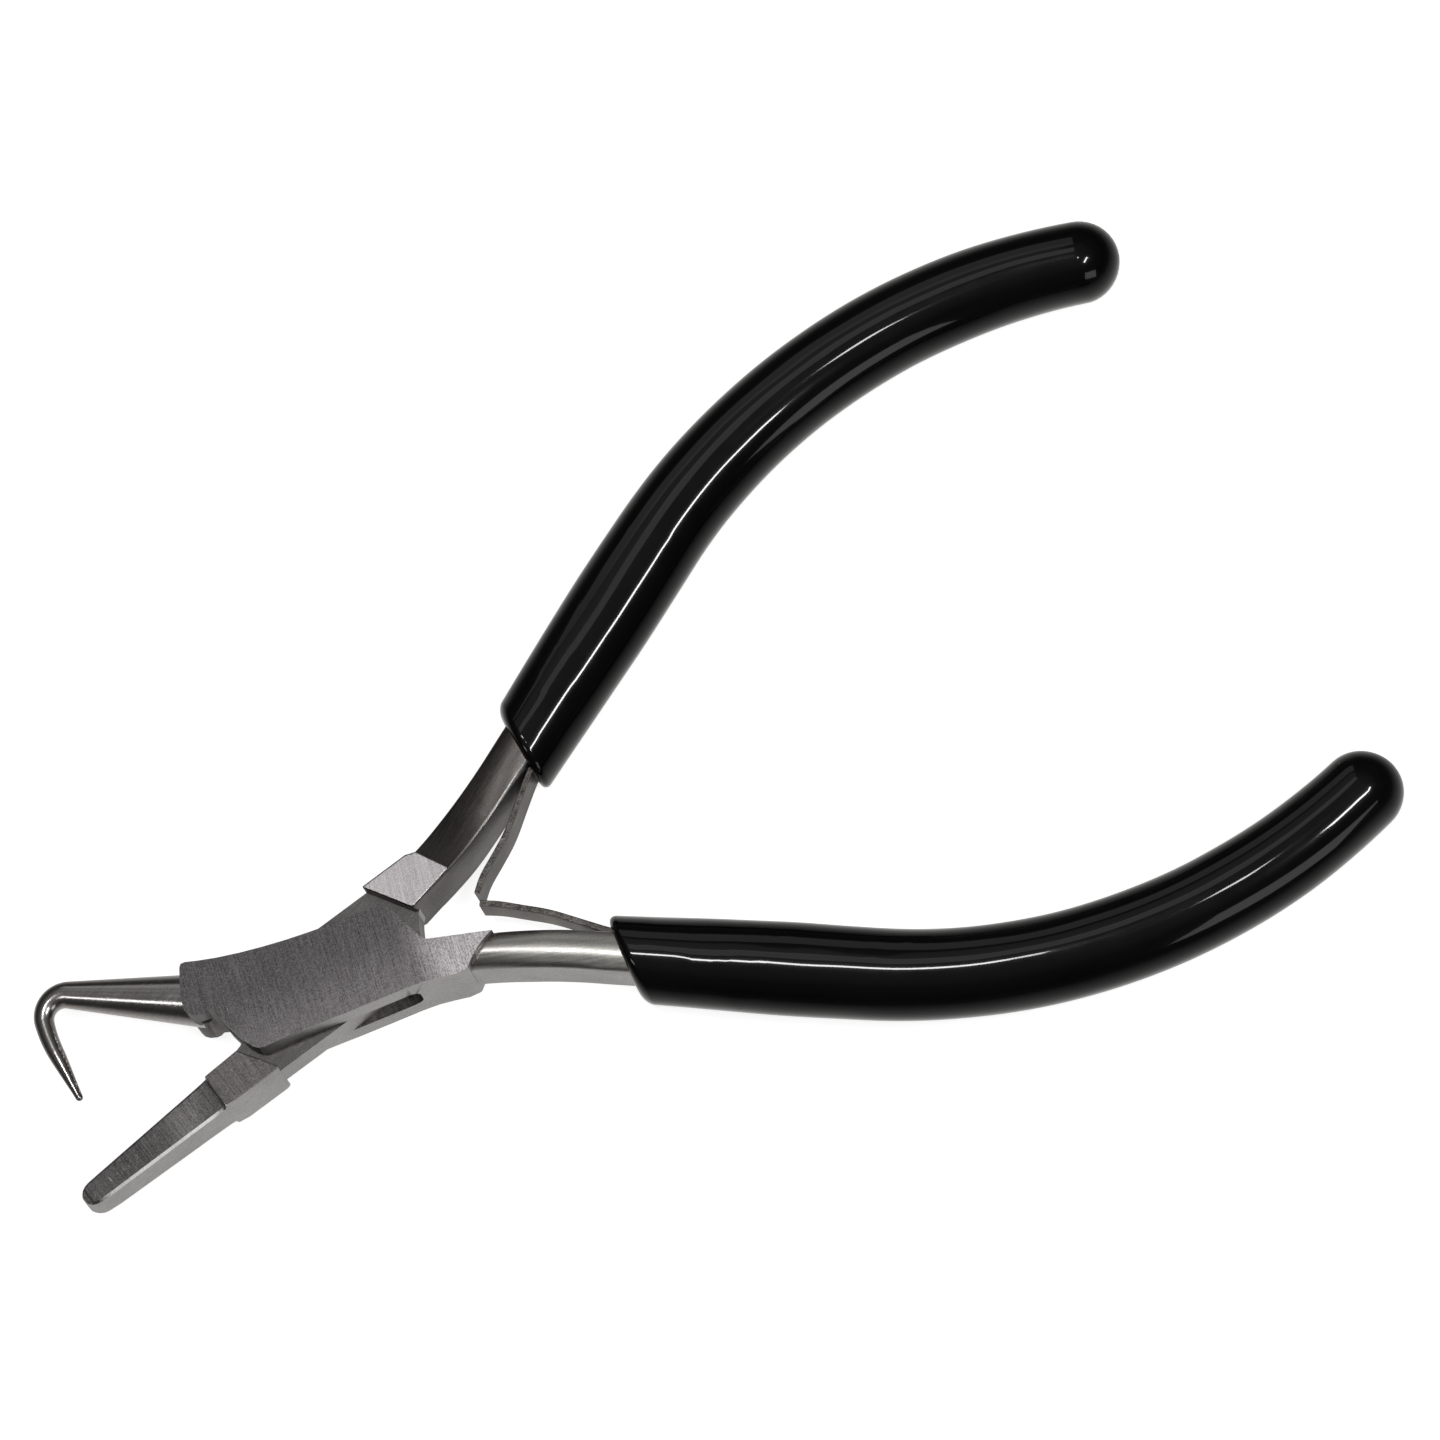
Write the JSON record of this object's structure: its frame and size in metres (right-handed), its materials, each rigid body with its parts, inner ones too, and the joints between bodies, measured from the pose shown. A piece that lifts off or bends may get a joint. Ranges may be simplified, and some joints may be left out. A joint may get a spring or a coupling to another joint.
{
  "type": "flat nose pliers",
  "caption": "Spring-opened box-joint jewellery pliers with a flat jaw, a bent pointed round jaw, leaf springs and dipped plastic grips.",
  "frame": {"origin": "on the pivot axis, in the plane the pliers lie on", "axes": "+X along the line midway between the handles, away from the jaws; +Z along the pivot axis, up from the resting plane; +Y towards the flat jaw's handle"},
  "size_m": [0.1354, 0.0778, 0.0088],
  "materials": {
    "jaw_steel": "brushed across the length on the joint, polished on the round jaw and handle roots",
    "spring_steel": "rolled strip with sheared edges",
    "rivet_steel": "satin",
    "grip_pvc": "dipped, glossy"
  },
  "bodies": {
    "hook_half": {"hook_jaw_half": "jaw_steel", "pivot_rivet": "jaw_steel", "lower_grip": "grip_pvc", "lower_spring_foot": "spring_steel", "lower_spring_rivet": "rivet_steel"},
    "flat_half": {"flat_jaw_half": "jaw_steel", "upper_grip": "grip_pvc", "upper_spring_foot": "spring_steel", "upper_spring_rivet": "rivet_steel"},
    "lower_leaf": {"lower_spring_blade": "spring_steel"},
    "upper_leaf": {"upper_spring_blade": "spring_steel"}
  },
  "joints": [
    {"name": "jaw_hinge", "type": "hinge", "parent": "hook_half", "child": "flat_half", "pos_m": [0, 0, 0.0044], "axis": [0, 0, -1], "range_deg": [0, 16], "stiffness_Nm_per_rad": 0.6, "springref_deg": -5.73},
    {"name": "lower_leaf_flex", "type": "hinge", "parent": "hook_half", "child": "lower_leaf", "pos_m": [0.02806, -0.00941, 0.0044], "axis": [0, 0, 1], "range_deg": [0, 12.6]},
    {"name": "upper_leaf_flex", "type": "hinge", "parent": "flat_half", "child": "upper_leaf", "pos_m": [0.02806, 0.00941, 0.0044], "axis": [0, 0, -1], "range_deg": [0, 12.6]}
  ],
  "couplings": [
    {"joint": "lower_leaf_flex", "follows": "jaw_hinge", "ratio": 0.76},
    {"joint": "upper_leaf_flex", "follows": "jaw_hinge", "ratio": 0.76}
  ]
}
